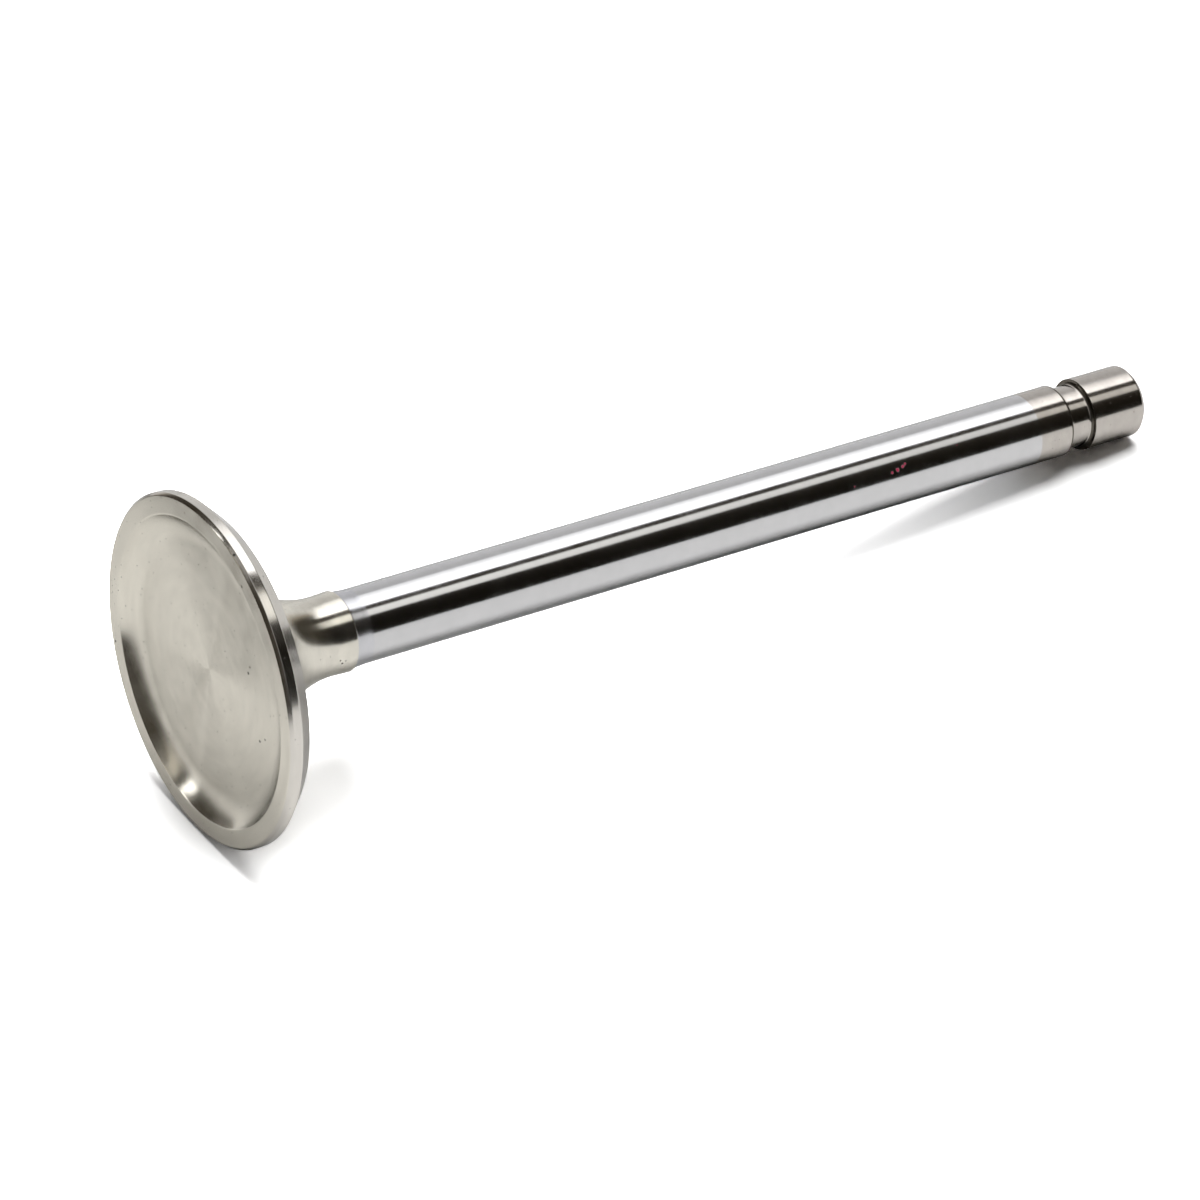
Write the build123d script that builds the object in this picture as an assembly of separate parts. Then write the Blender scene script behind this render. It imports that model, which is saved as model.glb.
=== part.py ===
from build123d import *

import math
import os

# Poppet valve of an overhead valve engine: a dished head, a 45 degree seat, a plated stem with one
# keeper groove, and a plain tip. It is one forging, turned and ground all over, so it is one solid.
# Millimetres. The valve stands on the flat ring of its face: the origin is the middle of that ring,
# and +Z runs up the stem to the tip.

LENGTH = 127.5

# Head, from the face up. The angles are measured from the plane of the face.
HEAD_DIAMETER = 40.64
FACE_RING = 2.42            # flat ring between the dish and the outer edge, before that edge is broken
FACE_EDGE_BREAK = 0.35
MARGIN_HEIGHT = 1.42        # face to seat
SEAT_WIDTH = 2.05           # radial
SEAT_ANGLE = 45.0
BACK_ANGLE = 14.0
BACK_FILLET = 11.0

# Dish turned into the face.
DISH_DEPTH = 1.5
DISH_WALL_RADIUS = 4.5

# Stem. The neck is left a little thicker than the ground stem, and widens towards it.
STEM_DIAMETER = 8.67
NECK_OVERSIZE = 0.265       # radial, at the top of the fillet
NECK_FLARE = 0.09           # radial, gained along the neck
NECK_LENGTH = 2.3
NECK_TAPER = 1.95           # length over which the neck comes down to the stem

# Tip, from the end down.
TIP_CHAMFER = 0.65
TIP_LAND = 7.7              # end of the tip to the groove
GROOVE_WIDTH = 3.25
GROOVE_DEPTH = 0.62
GROOVE_CORNER = 0.5

HEAD_RADIUS = HEAD_DIAMETER / 2
STEM_RADIUS = STEM_DIAMETER / 2
LIP_RADIUS = HEAD_RADIUS - FACE_RING


def dish_and_ring():
    """From the axis along the floor of the dish, up its wall and over the ring to the margin."""
    wall_run = math.sqrt(DISH_DEPTH * (2 * DISH_WALL_RADIUS - DISH_DEPTH))
    floor = Line((0, DISH_DEPTH), (LIP_RADIUS - wall_run, DISH_DEPTH))
    wall = TangentArc(floor @ 1, (LIP_RADIUS, 0), tangent=floor % 1)
    ring = Line(wall @ 1, (HEAD_RADIUS - FACE_EDGE_BREAK, 0))
    return Line(ring @ 1, (HEAD_RADIUS, FACE_EDGE_BREAK))


def margin_to_neck(edge_break):
    """Margin, seat, the flat back of the head and the fillet that sweeps up into the neck."""
    seat_rise = SEAT_WIDTH * math.tan(math.radians(SEAT_ANGLE))
    seat_top = (HEAD_RADIUS - SEAT_WIDTH, MARGIN_HEIGHT + seat_rise)
    margin = Line(edge_break @ 1, (HEAD_RADIUS, MARGIN_HEIGHT))
    seat = Line(margin @ 1, seat_top)

    # The fillet touches the back of the head, which falls away at BACK_ANGLE from the top of the
    # seat, and the neck, so its centre lies BACK_FILLET from both.
    back_angle = math.radians(BACK_ANGLE)
    centre_radius = STEM_RADIUS + NECK_OVERSIZE + BACK_FILLET
    centre_height = (
        seat_top[1]
        + (seat_top[0] - centre_radius) * math.tan(back_angle)
        + BACK_FILLET / math.cos(back_angle)
    )
    fillet_foot = (
        centre_radius - BACK_FILLET * math.sin(back_angle),
        centre_height - BACK_FILLET * math.cos(back_angle),
    )
    back = Line(seat @ 1, fillet_foot)
    return TangentArc(back @ 1, (centre_radius - BACK_FILLET, centre_height), tangent=back % 1)


def neck_and_stem(fillet):
    """The short neck, its taper, and the parallel stem up to the keeper groove."""
    neck_end = (fillet @ 1).Y + NECK_LENGTH
    groove_start = LENGTH - TIP_LAND - GROOVE_WIDTH
    neck = Line(fillet @ 1, (STEM_RADIUS + NECK_OVERSIZE + NECK_FLARE, neck_end))
    taper = Line(neck @ 1, (STEM_RADIUS, neck_end + NECK_TAPER))
    return Line(taper @ 1, (STEM_RADIUS, groove_start))


def groove_and_tip(stem):
    """The keeper groove, with rounded corners, then the tip land and its chamfered end."""
    groove_start = (stem @ 1).Y
    groove_end = groove_start + GROOVE_WIDTH
    root = STEM_RADIUS - GROOVE_DEPTH
    corner = min(GROOVE_CORNER, GROOVE_DEPTH)
    edge = stem
    if corner < GROOVE_DEPTH:
        edge = Line(stem @ 1, (root + corner, groove_start))
    lower_corner = TangentArc(edge @ 1, (root, groove_start + corner), tangent=(-1, 0))
    floor = Line(lower_corner @ 1, (root, groove_end - corner))
    upper_corner = TangentArc(floor @ 1, (root + corner, groove_end), tangent=floor % 1)
    if corner < GROOVE_DEPTH:
        Line(upper_corner @ 1, (STEM_RADIUS, groove_end))
    land = Line((STEM_RADIUS, groove_end), (STEM_RADIUS, LENGTH - TIP_CHAMFER))
    chamfer_line = Line(land @ 1, (STEM_RADIUS - TIP_CHAMFER, LENGTH))
    return Line(chamfer_line @ 1, (0, LENGTH))


with BuildPart() as valve:
    with BuildSketch(Plane.XZ):
        with BuildLine():
            edge_break = dish_and_ring()
            fillet = margin_to_neck(edge_break)
            stem = neck_and_stem(fillet)
            tip_end = groove_and_tip(stem)
            Line(tip_end @ 1, (0, DISH_DEPTH))
        make_face()
    revolve(axis=Axis.Z)

os.makedirs("parts", exist_ok=True)
export_step(valve.part, "parts/valve.step")
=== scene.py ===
import math

import bmesh
import bpy
from mathutils import Matrix, Vector


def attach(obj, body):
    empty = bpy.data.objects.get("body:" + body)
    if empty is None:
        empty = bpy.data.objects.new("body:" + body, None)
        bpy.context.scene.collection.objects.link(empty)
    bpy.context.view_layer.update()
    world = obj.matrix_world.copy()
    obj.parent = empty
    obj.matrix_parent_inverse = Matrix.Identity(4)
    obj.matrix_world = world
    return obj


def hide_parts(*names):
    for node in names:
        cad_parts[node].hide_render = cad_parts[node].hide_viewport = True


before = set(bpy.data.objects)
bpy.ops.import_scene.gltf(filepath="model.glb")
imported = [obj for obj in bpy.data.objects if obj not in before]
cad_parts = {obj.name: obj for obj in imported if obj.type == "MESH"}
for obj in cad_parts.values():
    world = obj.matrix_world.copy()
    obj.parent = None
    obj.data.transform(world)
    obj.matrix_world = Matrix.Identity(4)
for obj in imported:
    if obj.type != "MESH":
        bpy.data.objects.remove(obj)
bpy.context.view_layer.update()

# An engine exhaust valve, lying on white paper with the head towards the left. The mesh is built
# in millimetres, along the stem, and brought to metres at the end.
MM = 0.001

# Head.
HEAD_RADIUS = 20.32
LIP_RADIUS = 17.9
FACE_EDGE_BREAK = 0.35
MARGIN_HEIGHT = 1.42
SEAT_TOP = (18.27, 3.47)
DISH_DEPTH = 1.5
DISH_WALL_RADIUS = 4.5
BACK_ANGLE = math.radians(14.0)
BACK_FILLET = 11.0

# Neck and stem. The neck ends in a short step, and a taper runs from there down to the stem. The
# plating is bright between the two heights of PLATING, and duller from the bare neck up to them.
STEM_RADIUS = 4.335
NECK_RADII = (4.60, 4.69)
NECK_LENGTH = 2.3
NECK_TAPER = 1.95
PLATING_LIFT = 0.17
PLATING_STEP = 0.07
PLATING = (20.0, 111.9)

# Groove and tip.
GROOVE = (116.55, 119.8)
GROOVE_ROOT = 3.715
GROOVE_CORNER = 0.5
LENGTH = 127.5
TIP_CHAMFER = 0.65

# Where one finish gives way to the next: the height that the plating starts at, how far past the
# edge of the ring the face's finish goes, how far inside the top of the seat the rim's goes, and how
# far each wall of the groove is painted dark, below it and above it, as painted shade in the groove.
BARE_NECK_END = 17.8
FACE_OVERLAP = 0.01
RIM_OVERLAP = 0.05
LOWER_WALL_PAINTED_SHADE = (0.15, 0.4)
UPPER_WALL_PAINTED_SHADE = (0.3, 0.05)

# Mesh.
ROUND_THE_STEM = 256
DISH_WALL_STEPS = 14
FILLET_STEPS = 36
CORNER_STEPS = 10
EDGE_SEGMENTS = 4
SHORT_STEP = 0.22
MERGE_WITHIN = 1e-5
LEVEL_WITHIN = 1e-6


# ---------------------------------------------------------------- the valve's shape

class Outline:
    """Half of the valve's section in the XZ plane, cut point by point from the middle of the face."""

    def __init__(self, radius, height):
        self.bm = bmesh.new()
        self.tip = bmesh.ops.create_vert(self.bm, co=(radius, 0, height))["vert"][0]
        self.corners = []

    def cut_to(self, radius, height, edge_round=0.0):
        """A straight cut with a short step at each end, so that its shading stays flat."""
        start, end = self.tip.co.copy(), Vector((radius, 0, height))
        run = (end - start).length
        shares = [1.0]
        if run > 4 * SHORT_STEP:
            shares = [SHORT_STEP / run, 1 - SHORT_STEP / run, 1.0]
        for share in shares:
            self.tip = bmesh.ops.extrude_vert_indiv(self.bm, verts=[self.tip])["verts"][0]
            self.tip.co = start.lerp(end, share)
        self.round_here(edge_round)

    def sweep(self, centre_radius, centre_height, degrees, steps, edge_round=0.0):
        """An arc about a centre, turning from the way the centre is passed towards the stem."""
        turned = bmesh.ops.spin(self.bm, geom=[self.tip], cent=(centre_radius, 0, centre_height),
                                axis=(0, 1, 0), angle=math.radians(degrees), steps=steps)
        self.tip = [part for part in turned["geom_last"] if isinstance(part, bmesh.types.BMVert)][0]
        self.round_here(edge_round)

    def round_here(self, edge_round):
        if edge_round:
            self.corners.append((self.tip, edge_round))

    def break_corners(self):
        for corner, size in self.corners:
            bmesh.ops.bevel(self.bm, geom=[corner], offset=size, offset_type="OFFSET",
                            segments=EDGE_SEGMENTS, profile=0.5, affect="VERTICES", material=-1)


def valve_outline():
    wall_turn = math.degrees(math.acos(1 - DISH_DEPTH / DISH_WALL_RADIUS))
    wall_foot = LIP_RADIUS - DISH_WALL_RADIUS * math.sin(math.radians(wall_turn))
    fillet_centre = (NECK_RADII[0] + BACK_FILLET,
                     SEAT_TOP[1] + (SEAT_TOP[0] - NECK_RADII[0] - BACK_FILLET) * math.tan(BACK_ANGLE)
                     + BACK_FILLET / math.cos(BACK_ANGLE))
    fillet_foot = (fillet_centre[0] - BACK_FILLET * math.sin(BACK_ANGLE),
                   fillet_centre[1] - BACK_FILLET * math.cos(BACK_ANGLE))
    neck_top = fillet_centre[1] + NECK_LENGTH
    groove_lip = GROOVE_ROOT + GROOVE_CORNER

    outline = Outline(0, DISH_DEPTH)
    outline.cut_to(wall_foot, DISH_DEPTH)
    outline.sweep(wall_foot, DISH_DEPTH - DISH_WALL_RADIUS, wall_turn, DISH_WALL_STEPS, edge_round=0.12)
    outline.cut_to(HEAD_RADIUS - FACE_EDGE_BREAK, 0, edge_round=0.06)
    outline.cut_to(HEAD_RADIUS, FACE_EDGE_BREAK, edge_round=0.06)
    outline.cut_to(HEAD_RADIUS, MARGIN_HEIGHT, edge_round=0.07)
    outline.cut_to(*SEAT_TOP, edge_round=0.12)
    outline.cut_to(*fillet_foot)
    outline.sweep(*fillet_centre, 90 - math.degrees(BACK_ANGLE), FILLET_STEPS)
    outline.cut_to(NECK_RADII[1], neck_top, edge_round=0.04)
    outline.cut_to(STEM_RADIUS + PLATING_LIFT, neck_top + PLATING_STEP, edge_round=0.04)
    outline.cut_to(STEM_RADIUS, neck_top + NECK_TAPER, edge_round=0.2)
    outline.cut_to(STEM_RADIUS, PLATING[0])
    outline.cut_to(STEM_RADIUS, PLATING[1])
    outline.cut_to(STEM_RADIUS, GROOVE[0], edge_round=0.06)
    outline.cut_to(groove_lip, GROOVE[0])
    outline.sweep(groove_lip, GROOVE[0] + GROOVE_CORNER, 90, CORNER_STEPS)
    outline.cut_to(GROOVE_ROOT, GROOVE[1] - GROOVE_CORNER)
    outline.sweep(groove_lip, GROOVE[1] - GROOVE_CORNER, 90, CORNER_STEPS)
    outline.cut_to(STEM_RADIUS, GROOVE[1], edge_round=0.06)
    outline.cut_to(STEM_RADIUS, LENGTH - TIP_CHAMFER, edge_round=0.1)
    outline.cut_to(STEM_RADIUS - TIP_CHAMFER, LENGTH, edge_round=0.1)
    outline.cut_to(0, LENGTH)
    outline.break_corners()
    return outline.bm


def finish_at(radius, height):
    """Which finish the metal has at this place on the valve, or the painted shade on the groove's walls."""
    if height < LEVEL_WITHIN + DISH_DEPTH and radius < HEAD_RADIUS - FACE_EDGE_BREAK + FACE_OVERLAP:
        return "turned_face"
    if height < SEAT_TOP[1] and radius > SEAT_TOP[0] - RIM_OVERLAP:
        return "ground_rim"
    if height < BARE_NECK_END:
        return "satin_neck"
    if height < PLATING[0]:
        return "plating_edge"
    if height < PLATING[1]:
        return "hard_chrome"
    # The walls of the groove are painted dark, as the shade that falls in the groove.
    for wall, (below, above) in zip(GROOVE, (LOWER_WALL_PAINTED_SHADE, UPPER_WALL_PAINTED_SHADE)):
        if wall - below < height < wall + above:
            return "groove_painted_shade"
    return "ground_tip"


def spin_valve():
    bm = valve_outline()
    bmesh.ops.spin(bm, geom=bm.verts[:] + bm.edges[:], cent=(0, 0, 0), axis=(0, 0, 1),
                   angle=math.tau, steps=ROUND_THE_STEM, use_merge=True)
    bmesh.ops.remove_doubles(bm, verts=bm.verts, dist=MERGE_WITHIN)
    bmesh.ops.recalc_face_normals(bm, faces=bm.faces)
    finishes = list(LOOKS)
    for face in bm.faces:
        face.smooth = True
        middle = face.calc_center_median()
        face.material_index = finishes.index(finish_at(middle.xy.length, middle.z))
    bmesh.ops.scale(bm, vec=(MM, MM, MM), verts=bm.verts)
    mesh = bpy.data.meshes.new("engine_valve")
    bm.to_mesh(mesh)
    bm.free()
    valve = bpy.data.objects.new("engine_valve", mesh)
    bpy.context.collection.objects.link(valve)
    return valve


# ---------------------------------------------------------------- metal finishes

DIRT = (0.035, 0.028, 0.02)
RED_MARKER = (0.42, 0.02, 0.07)

# How much of the light the metal gives back where it is seen almost edge on.
EDGE_TINT = (0.6, 0.6, 0.6, 1)

# Most of a noise's values lie between these two.
NOISE_LOW, NOISE_HIGH = 0.3, 0.7

# How many patches of uneven gloss there are to a millimetre, and how far they go either way.
PATCH_SCALE = 0.35
PATCH_GLOSS = 0.15

# Broken rings: how many arcs round the axis, and how many tool marks wide.
ARCS_ROUND = 3.0
ARC_WIDTH = 2.5

# Flecks: how many to a millimetre, the share that is left clean, and where their edges fade.
FLECK_SCALE = 1.6
FLECKS_CLEAN = 0.72
FLECK_FADE = (0.16, 0.06)

# Spots: how ragged they are, and the share of the size that is solid.
SPOT_RAGGED = 4.0
SPOT_CORE = 0.45

# Each spot is a radius, a height, a turn round the stem and a size.
FACE_SPOTS = [(9.3, DISH_DEPTH, 10, 0.22), (10.0, DISH_DEPTH, 6, 0.16), (16.2, DISH_DEPTH, -40, 0.20),
              (16.0, DISH_DEPTH, 172, 0.22), (11.5, DISH_DEPTH, 52, 0.20), (12.4, DISH_DEPTH, 47, 0.15),
              (19.4, 0, -162, 0.2), (18.4, 0, -24, 0.18)]
RIM_SPOTS = [(HEAD_RADIUS, 0.9, -22, 0.16), (HEAD_RADIUS, 1.25, -21, 0.14),
             (HEAD_RADIUS - 0.2, 0.2, -33, 0.25), (HEAD_RADIUS - 0.9, 2.4, -24, 0.2)]
NECK_SPOTS = [(5.0, 13, 30, 0.13), (4.62, 15.5, 44, 0.13), (4.62, 15.8, 50, 0.16),
              (4.62, 16.2, 47, 0.1), (7.5, 10, 40, 0.15)]
MARKER_SMEAR = [(STEM_RADIUS, 90.4, 7, 0.22), (STEM_RADIUS, 91.2, 5, 0.3), (STEM_RADIUS, 92.0, 2, 0.3),
                (STEM_RADIUS, 92.4, -1, 0.2), (STEM_RADIUS, 85, 11, 0.12),
                (STEM_RADIUS, 100, -6, 0.08)]

# In each finish, along stretches the reflections across the tool's marks. marks is their height and
# mark_pitch their spacing, in mm. arcs and blotches are how uneven the tone is, and pits how dark
# the flecks are.
LOOKS = {
    "turned_face": dict(colour=(0.63, 0.60, 0.525), roughness=0.23, along=1.0, marks=0.0004,
                        mark_pitch=0.5, arcs=0.05, pits=0.5, spots=FACE_SPOTS),
    "ground_rim": dict(colour=(0.60, 0.575, 0.53), roughness=0.20, along=0.6, marks=0.0002,
                       mark_pitch=0.3, arcs=0.04, pits=0.3, spots=RIM_SPOTS),
    "satin_neck": dict(colour=(0.60, 0.575, 0.51), roughness=0.20, along=0.7, marks=0.0003,
                       mark_pitch=0.4, arcs=0.05, pits=0.3, spots=NECK_SPOTS),
    "plating_edge": dict(colour=(0.50, 0.50, 0.515), roughness=0.22, along=0.3, marks=0.0001,
                         mark_pitch=0.4),
    "hard_chrome": dict(colour=(0.515, 0.513, 0.515), roughness=0.14, along=0.2, marks=0.0001,
                        mark_pitch=0.4, blotches=0.02, arcs=0.02, spots=MARKER_SMEAR,
                        spot_colour=RED_MARKER),
    "ground_tip": dict(colour=(0.44, 0.412, 0.38), roughness=0.16, along=0.4, marks=0.0002,
                       mark_pitch=0.3, arcs=0.05, pits=0.3),
    # Painted shade: the walls of the groove are dark, as the shade that falls in the groove.
    "groove_painted_shade": dict(colour=(0.10, 0.09, 0.075), roughness=0.25, along=0.4, marks=0.0002,
                        mark_pitch=0.3),
}


def bare_material(name):
    material = bpy.data.materials.new(name)
    material.use_nodes = True
    material.node_tree.nodes.clear()
    return material, material.node_tree


def add(tree, kind, inputs=None, **settings):
    """One node, with its sockets filled by name or number from values or from other nodes' outputs."""
    node = tree.nodes.new("ShaderNode" + kind)
    for name, value in settings.items():
        setattr(node, name, value)
    for socket, value in (inputs or {}).items():
        if isinstance(value, bpy.types.NodeSocket):
            tree.links.new(value, node.inputs[socket])
        else:
            node.inputs[socket].default_value = value
    return node


def number(tree, operation, first, second=0.0):
    return add(tree, "Math", {0: first, 1: second}, operation=operation).outputs[0]


def between(tree, value, low, high, new_low=0.0, new_high=1.0, curve="LINEAR"):
    """value mapped from low..high to new_low..new_high, and held at the ends."""
    return add(tree, "MapRange", {"Value": value, "From Min": low, "From Max": high, "To Min": new_low,
                                  "To Max": new_high}, interpolation_type=curve).outputs[0]


def soft_step(tree, value, low, high, new_low=0.0, new_high=1.0):
    return between(tree, value, low, high, new_low, new_high, curve="SMOOTHSTEP")


def vector(tree, operation, *inputs):
    return add(tree, "VectorMath", dict(enumerate(inputs)), operation=operation).outputs[0]


def vector_size(tree, operation, *inputs):
    return add(tree, "VectorMath", dict(enumerate(inputs)), operation=operation).outputs["Value"]


def scaled(tree, value, scale):
    return add(tree, "VectorMath", {0: value, "Scale": scale}, operation="SCALE").outputs[0]


def around(radius, height, turn):
    """A place on the valve in mm: turn degrees round the stem, from the side that faces up and out."""
    turn = math.radians(turn)
    return radius * math.sin(turn), -radius * math.cos(turn), height


def spot_mask(tree, place_mm, spots):
    """1 inside any of the small ragged spots."""
    ragged = add(tree, "TexNoise", {"Vector": place_mm, "Scale": SPOT_RAGGED, "Detail": 2.0}).outputs[1]
    shift = vector(tree, "SUBTRACT", ragged, (0.5, 0.5, 0.5))
    mask = 0.0
    for radius, height, turn, size in spots:
        moved = vector(tree, "MULTIPLY_ADD", shift, (size, size, size), place_mm)
        distance = vector_size(tree, "DISTANCE", moved, around(radius, height, turn))
        mask = number(tree, "MAXIMUM", soft_step(tree, distance, size, size * SPOT_CORE), mask)
    return mask


def metal(name, colour, roughness, along, marks, mark_pitch, blotches=0.03, arcs=0.03, pits=0.0,
          spots=(), spot_colour=DIRT):
    """Steel or chrome cut or ground round the axis."""
    material, tree = bare_material(name)
    place = add(tree, "TexCoord").outputs["Object"]
    place_mm = scaled(tree, place, 1 / MM)
    height = add(tree, "SeparateXYZ", {0: place_mm}).outputs["Z"]
    flat = vector(tree, "MULTIPLY", place_mm, (1, 1, 0))
    feed = number(tree, "SUBTRACT", height, vector_size(tree, "LENGTH", flat))

    # Rings left by the tool or the wheel, whole and broken into arcs.
    coarse = add(tree, "TexNoise", {"W": feed, "Scale": 1 / mark_pitch, "Detail": 2.0},
                 noise_dimensions="1D").outputs[0]
    fine = add(tree, "TexNoise", {"W": feed, "Scale": 4 / mark_pitch, "Detail": 3.0},
               noise_dimensions="1D").outputs[0]
    ring = number(tree, "ADD", coarse, number(tree, "MULTIPLY", fine, 0.5))
    round_way = scaled(tree, vector(tree, "NORMALIZE", flat), ARCS_ROUND)
    lift = add(tree, "CombineXYZ", {2: number(tree, "DIVIDE", feed, ARC_WIDTH * mark_pitch)}).outputs[0]
    turned = vector(tree, "ADD", round_way, lift)
    arc = add(tree, "TexNoise", {"Vector": turned, "Scale": 1.0, "Detail": 3.0}).outputs[0]
    patch = add(tree, "TexNoise", {"Vector": place_mm, "Scale": PATCH_SCALE, "Detail": 4.0}).outputs[0]

    shade = number(tree, "ADD", between(tree, arc, NOISE_LOW, NOISE_HIGH, -arcs, arcs),
                   between(tree, patch, NOISE_LOW, NOISE_HIGH, -blotches, blotches))
    tint = scaled(tree, colour, number(tree, "ADD", shade, 1.0))
    gloss = between(tree, patch, NOISE_LOW, NOISE_HIGH, roughness * (1 - PATCH_GLOSS),
                    roughness * (1 + PATCH_GLOSS))
    fleck = add(tree, "TexVoronoi", {"Vector": place_mm, "Scale": FLECK_SCALE})
    draw = add(tree, "SeparateColor", {0: fleck.outputs["Color"]}).outputs[0]
    speck = number(tree, "MULTIPLY", soft_step(tree, fleck.outputs["Distance"], *FLECK_FADE, 0.0, pits),
                   number(tree, "GREATER_THAN", draw, FLECKS_CLEAN))
    mask = number(tree, "MAXIMUM", speck, spot_mask(tree, place_mm, spots))
    soiled = add(tree, "Mix", {0: mask, 6: tint, 7: (*spot_colour, 1)}, data_type="RGBA").outputs[2]

    bump = add(tree, "Bump", {"Height": ring, "Strength": 1.0, "Distance": marks * MM}).outputs[0]
    tangent = add(tree, "Tangent", direction_type="RADIAL", axis="Z").outputs[0]
    shader = add(tree, "BsdfPrincipled",
                 {"Base Color": soiled, "Metallic": number(tree, "SUBTRACT", 1.0, mask),
                  "Roughness": gloss, "Specular Tint": EDGE_TINT, "Anisotropic": along,
                  "Anisotropic Rotation": 0.25, "Tangent": tangent, "Normal": bump})
    add(tree, "OutputMaterial", {"Surface": shader.outputs[0]})
    return material


def finish_valve(valve):
    for name, look in LOOKS.items():
        valve.data.materials.append(metal(name, **look))


# ---------------------------------------------------------------- the studio

# The valve lies on the rim of its head and the edge of its tip, so the floor leans with it.
REST_LEAN = math.atan((HEAD_RADIUS - STEM_RADIUS) / (LENGTH - TIP_CHAMFER - MARGIN_HEIGHT))
REST_SIDE = math.radians(-141.9)
FLOOR_UP = Vector((math.cos(REST_LEAN) * math.cos(REST_SIDE),
                   math.cos(REST_LEAN) * math.sin(REST_SIDE), -math.sin(REST_LEAN)))
FLOOR_DROP = (MARGIN_HEIGHT * math.sin(REST_LEAN) + HEAD_RADIUS * math.cos(REST_LEAN)) * MM

# How far the stem is turned to the right of straight away from the camera, seen from above.
STEM_TURN = math.radians(57.24)

CAMERA_PLACE = Vector((0.0, -0.59866, -0.27977))
CAMERA_AIM = Vector((0.00504, 0.00534, 0.05378))
CAMERA_ROLL = math.radians(73.361)
CAMERA_LENS = 180.69
CAMERA_SENSOR = 36.0

# Paper, in metres. The camera sees it lifted to white, but its shadow is kept under the tip, coming
# in between two heights up the stem, and under the head, between two distances from HEAD_FOOT. In
# the metal it glows far from the head, a painted light, and is dimmer at its left end, a painted shade.
PAPER_WHITE = 0.9
PAPER_GAIN = 1.6
PAPER_HALF = (1.1, 0.9)
PAPER_MIDDLE = (0.98, 0.55)
TIP_SHADOW = (0.080, 0.117)
UNDER_HEAD = 0.007
HEAD_FOOT = -FLOOR_UP * FLOOR_DROP + Vector((0, 0, UNDER_HEAD))
FOOT_SHADOW = (0.019, 0.009)
FAR_PAPER = (0.35, 1.2)
FAR_GLOW = 0.45
LEFT_END = (-0.11, -0.045)
LEFT_END_SHARE = 0.2

# Room, in degrees right of straight away from the camera and degrees above the floor. Each pair is
# where an edge starts and ends.
ROOM_REACH = 3.0
ROOM_DARK = 0.009
ROOM_DUSK = 0.05
DUSK_FADE = (115, 75)
WALL_GLOW = 1.2
WALL_TOP_GLOW = 0.76
WALL_LEFT = (-45, -37)
WALL_RIGHT = (46, 26)
WALL_TOP = (48, 40)
WALL_FADE = (-5, 36)
WALL_COLOUR = (0.99, 0.99, 1, 1)
DARK_COLOUR = (1, 0.84, 0.62, 1)

# The grey part of the room. PAST_HEAD is up the stem, as a share of the room's reach.
PAST_HEAD = (0.25, 0.05)
GREY_CEILING = (44, 62)
GREY_RIGHT = (124, 142)
GREY_LEFT = (-150, -165)
GREY_FADE = (0, 85)
GREY_GLOW = (0.10, 0.6)

# Cards and the lamp. Each place is a distance along the stem and one beside it, in metres, and
# LAMP_LEVEL is the lamp's share of the light on the paper.
OVERHEAD = 1.0
SOFTBOX = [(0.30, 0.92), (0.30, -0.06), (1.17, 0.955), (1.12, 0.04)]
SOFTBOX_GLOW = [1.3, 2.9, 1.35, 3.1]
SIDE_PANEL = [(0.30, -0.30), (0.30, -0.71), (1.40, -0.26), (1.40, -0.72)]
SIDE_PANEL_GLOW = [1.85, 1.85, 0.75, 0.75]
CARD_REACH = 1.2
LAMP_PLACE = (0.32, 0.20)
LAMP_ACROSS = 1.9
LAMP_ALONG = 1.4
LAMP_LEVEL = 1.11
ROOM_LIGHT = 0.012


def place_camera():
    turn = (CAMERA_AIM - CAMERA_PLACE).to_track_quat("-Z", "Y").to_matrix()
    turn = turn @ Matrix.Rotation(CAMERA_ROLL, 3, "Z")
    lens = bpy.data.cameras.new("camera")
    lens.lens, lens.sensor_width = CAMERA_LENS, CAMERA_SENSOR
    lens.clip_start, lens.clip_end = 0.01, 50.0
    camera = bpy.data.objects.new("camera", lens)
    camera.matrix_world = Matrix.Translation(CAMERA_PLACE) @ turn.to_4x4()
    bpy.context.collection.objects.link(camera)
    bpy.context.scene.camera = camera
    return turn.col[0].copy()


def studio_axes(camera_right):
    """Right of the camera, away from it, and up from the floor, with the origin on the floor."""
    right = (camera_right - FLOOR_UP * camera_right.dot(FLOOR_UP)).normalized()
    away = FLOOR_UP.cross(right)
    axes = Matrix((right, away, FLOOR_UP)).transposed().to_4x4()
    return Matrix.Translation(-FLOOR_UP * FLOOR_DROP) @ axes


def studio_mesh(name, bm, studio, material):
    bmesh.ops.transform(bm, matrix=studio, verts=bm.verts)
    mesh = bpy.data.meshes.new(name)
    bm.to_mesh(mesh)
    bm.free()
    mesh.materials.append(material)
    thing = bpy.data.objects.new(name, mesh)
    bpy.context.collection.objects.link(thing)
    return thing


def only_in_metal(thing):
    """The thing is seen in the metal, and neither by the camera nor by the light on the paper."""
    thing.visible_camera = thing.visible_diffuse = thing.visible_shadow = False
    thing.visible_transmission = False


def seen_white(tree):
    """1 for what the camera sees, straight or in metal or glass, and 0 for the light on things."""
    path = add(tree, "LightPath")
    seen = number(tree, "MAXIMUM", path.outputs["Is Camera Ray"], path.outputs["Is Glossy Ray"])
    return number(tree, "MAXIMUM", seen, path.outputs["Is Transmission Ray"])


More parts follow.
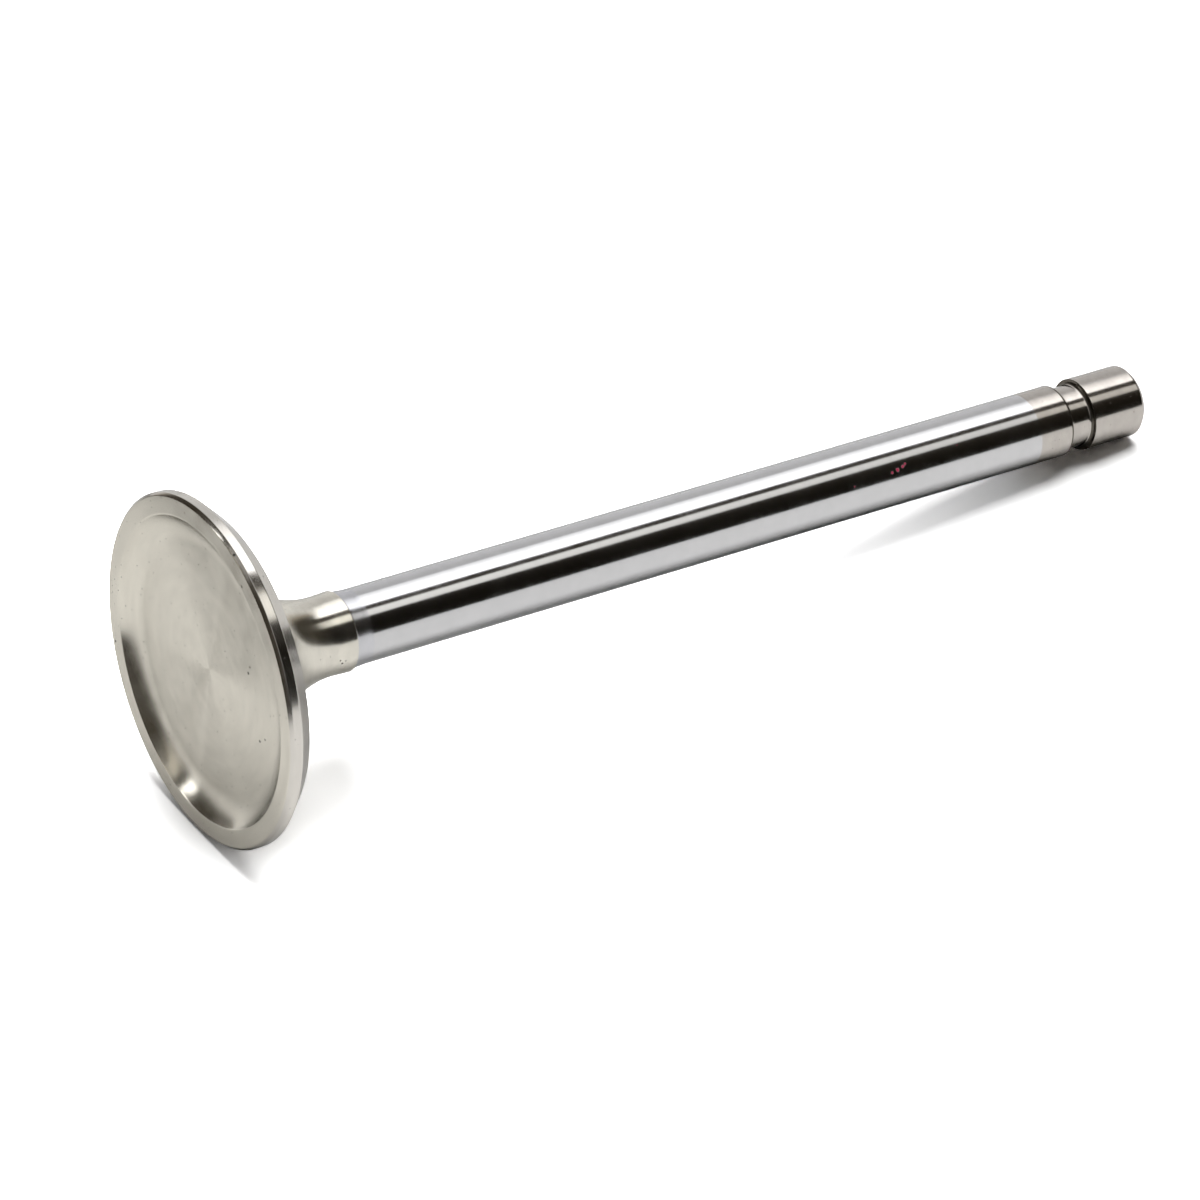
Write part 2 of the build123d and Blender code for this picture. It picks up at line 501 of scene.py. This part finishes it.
def lay_paper(studio):
    """White paper that keeps the valve's shadow where the two touch, and is clear from behind."""
    material, tree = bare_material("white_paper")
    place = add(tree, "TexCoord").outputs["Object"]
    up_stem = add(tree, "SeparateXYZ", {0: place}).outputs["Z"]
    to_right = vector_size(tree, "DOT_PRODUCT", place, studio.to_3x3().col[0])
    from_foot = vector_size(tree, "DISTANCE", place, HEAD_FOOT)
    camera = add(tree, "LightPath").outputs["Is Camera Ray"]

    # The shadow is kept under the tip and round the foot of the head, and fades out elsewhere.
    kept = number(tree, "MAXIMUM", between(tree, up_stem, *TIP_SHADOW),
                  between(tree, from_foot, *FOOT_SHADOW))
    fade = number(tree, "MULTIPLY", number(tree, "SUBTRACT", 1.0, kept), camera)
    # Far from the head the paper gets a painted glow, which the metal shows.
    far = between(tree, from_foot, *FAR_PAPER, 0.0, FAR_GLOW)
    lift = number(tree, "ADD", fade, number(tree, "MULTIPLY", seen_white(tree), far))

    # In the metal the paper gets dimmer towards its left end: a painted shade, seen only in the metal.
    dim = soft_step(tree, to_right, *LEFT_END, LEFT_END_SHARE * PAPER_WHITE, PAPER_WHITE)
    gain = add(tree, "Mix", {0: camera, 2: dim, 3: PAPER_WHITE * PAPER_GAIN}).outputs[0]
    colour = add(tree, "CombineColor", {0: gain, 1: gain, 2: gain}).outputs[0]
    paper = add(tree, "BsdfDiffuse", {"Color": colour}).outputs[0]
    glow = add(tree, "Emission", {"Strength": lift}).outputs[0]
    both = add(tree, "AddShader", {0: paper, 1: glow}).outputs[0]
    behind = add(tree, "NewGeometry").outputs["Backfacing"]
    clear = add(tree, "BsdfTransparent").outputs[0]
    side = add(tree, "MixShader", {0: behind, 1: both, 2: clear}).outputs[0]
    add(tree, "OutputMaterial", {"Surface": side})
    bm = bmesh.new()
    bmesh.ops.create_grid(bm, x_segments=1, y_segments=1, size=1.0)
    bmesh.ops.scale(bm, vec=(*PAPER_HALF, 1), verts=bm.verts)
    bmesh.ops.translate(bm, vec=(*PAPER_MIDDLE, 0), verts=bm.verts)
    studio_mesh("white_paper", bm, studio, material)


def raise_room(studio):
    """A dark room with a pale wall behind the valve, which only show in the metal."""
    material, tree = bare_material("room")
    place = add(tree, "TexCoord").outputs["Object"]
    right, away, up = [vector_size(tree, "DOT_PRODUCT", place, studio.to_3x3().col[row])
                       for row in range(3)]
    turn = number(tree, "DEGREES", number(tree, "ARCTAN2", right, away))
    rise = number(tree, "DEGREES", number(tree, "ARCSINE", number(tree, "DIVIDE", up, ROOM_REACH)))

    wall = number(tree, "MULTIPLY", soft_step(tree, turn, *WALL_LEFT), soft_step(tree, turn, *WALL_RIGHT))
    wall = number(tree, "MULTIPLY", wall, soft_step(tree, rise, *WALL_TOP))
    wall_glow = soft_step(tree, rise, *WALL_FADE, WALL_GLOW, WALL_TOP_GLOW)

    # Past the head the ceiling and the near side are grey, so that the valve isn't black from behind.
    up_stem = add(tree, "SeparateXYZ", {0: place}).outputs["Z"]
    past_head = soft_step(tree, up_stem, *[share * ROOM_REACH for share in PAST_HEAD])
    near_side = number(tree, "MAXIMUM", soft_step(tree, turn, *GREY_RIGHT),
                       soft_step(tree, turn, *GREY_LEFT))
    grey = number(tree, "MAXIMUM", soft_step(tree, rise, *GREY_CEILING), near_side)
    grey = number(tree, "MULTIPLY", past_head, grey)

    dusk = soft_step(tree, turn, *DUSK_FADE, ROOM_DARK, ROOM_DUSK)
    dark = add(tree, "Mix", {0: grey, 2: dusk, 3: soft_step(tree, rise, *GREY_FADE, *GREY_GLOW)}).outputs[0]
    glow = add(tree, "Mix", {0: wall, 2: dark, 3: wall_glow}).outputs[0]
    colour = add(tree, "Mix", {0: number(tree, "MAXIMUM", wall, grey), 6: DARK_COLOUR, 7: WALL_COLOUR},
                 data_type="RGBA").outputs[2]
    shine = add(tree, "Emission", {"Color": colour, "Strength": glow}).outputs[0]
    add(tree, "OutputMaterial", {"Surface": shine})
    bm = bmesh.new()
    bmesh.ops.create_uvsphere(bm, u_segments=48, v_segments=24, radius=ROOM_REACH)
    only_in_metal(studio_mesh("room", bm, studio, material))


def over_stem(along, beside):
    """A place overhead, from the head along the stem, and beside it on the side away from the camera."""
    return Vector((along * math.sin(STEM_TURN) - beside * math.cos(STEM_TURN),
                   along * math.cos(STEM_TURN) + beside * math.sin(STEM_TURN), OVERHEAD))


def towards(turn, rise):
    """A place round the valve: turn degrees right of straight away from the camera, rise above level."""
    turn, rise = math.radians(turn), math.radians(rise)
    return CARD_REACH * Vector((math.cos(rise) * math.sin(turn), math.cos(rise) * math.cos(turn),
                                math.sin(rise)))


def upright(left, right, low, high):
    """The corners of a card that stands at the side."""
    return [towards(left, low), towards(right, low), towards(left, high), towards(right, high)]


def blend(corners, right, far):
    """A value inside a card from the values at its corners: near left, near right, far left, far right."""
    near = corners[0] * (1 - right) + corners[1] * right
    return near * (1 - far) + (corners[2] * (1 - right) + corners[3] * right) * far


def hang_card(studio, name, corners, strengths, colour=(1, 1, 1)):
    """A lit card that only shows in the metal, with a place and a strength at each of its corners."""
    material, tree = bare_material(name)
    level = add(tree, "Attribute", attribute_name="strength").outputs["Fac"]
    glow = add(tree, "Emission", {"Color": (*colour, 1), "Strength": level}).outputs[0]
    add(tree, "OutputMaterial", {"Surface": glow})
    bm = bmesh.new()
    bmesh.ops.create_grid(bm, x_segments=8, y_segments=8, size=1.0)
    layer = bm.verts.layers.float.new("strength")
    for vert in bm.verts:
        right, far = (vert.co.x + 1) / 2, (vert.co.y + 1) / 2
        vert[layer] = blend(strengths, right, far)
        vert.co = blend(corners, right, far)
    only_in_metal(studio_mesh(name, bm, studio, material))


def hang_lamp(studio, middle):
    """A soft lamp overhead, facing down, which lights the paper."""
    lamp = bpy.data.lights.new("paper_light", "AREA")
    lamp.shape, lamp.size, lamp.size_y = "RECTANGLE", LAMP_ACROSS, LAMP_ALONG
    reach = middle.length_squared + (LAMP_ACROSS ** 2 + LAMP_ALONG ** 2) / 12
    lamp.energy = LAMP_LEVEL * (math.pi * reach / middle.z) ** 2
    thing = bpy.data.objects.new("paper_light", lamp)
    thing.matrix_world = studio @ Matrix.Translation(middle) @ Matrix.Rotation(-STEM_TURN, 4, "Z")
    thing.visible_camera = thing.visible_glossy = False
    bpy.context.collection.objects.link(thing)


def light_the_room():
    world = bpy.data.worlds.new("pale_room")
    bpy.context.scene.world = world
    world.use_nodes = True
    tree = world.node_tree
    tree.nodes.clear()
    strength = between(tree, seen_white(tree), 0, 1, ROOM_LIGHT, 1.0)
    room = add(tree, "Background", {"Color": (1, 1, 1, 1), "Strength": strength})
    add(tree, "OutputWorld", {"Surface": room.outputs[0]})


def build_studio():
    studio = studio_axes(place_camera())
    lay_paper(studio)
    raise_room(studio)
    hang_card(studio, "softbox", [over_stem(*corner) for corner in SOFTBOX], SOFTBOX_GLOW,
              colour=(0.985, 0.985, 1.0))
    hang_card(studio, "side_panel", [over_stem(*corner) for corner in SIDE_PANEL], SIDE_PANEL_GLOW,
              colour=(1.0, 0.99, 0.95))
    hang_card(studio, "left_strip", upright(left=-85, right=-80, low=5, high=37), [4.0] * 4)
    hang_card(studio, "left_card", upright(left=-101, right=-92, low=6, high=37), [0.9] * 4,
              colour=(1.0, 0.95, 0.85))
    hang_card(studio, "left_shade", upright(left=-115, right=-89, low=38, high=52), [0.45] * 4,
              colour=(1.0, 0.97, 0.94))
    hang_lamp(studio, 2 * over_stem(*LAMP_PLACE))
    light_the_room()


valve = spin_valve()
finish_valve(valve)
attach(valve, "root")
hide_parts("valve")
build_studio()

bpy.context.scene.view_settings.view_transform = "Standard"
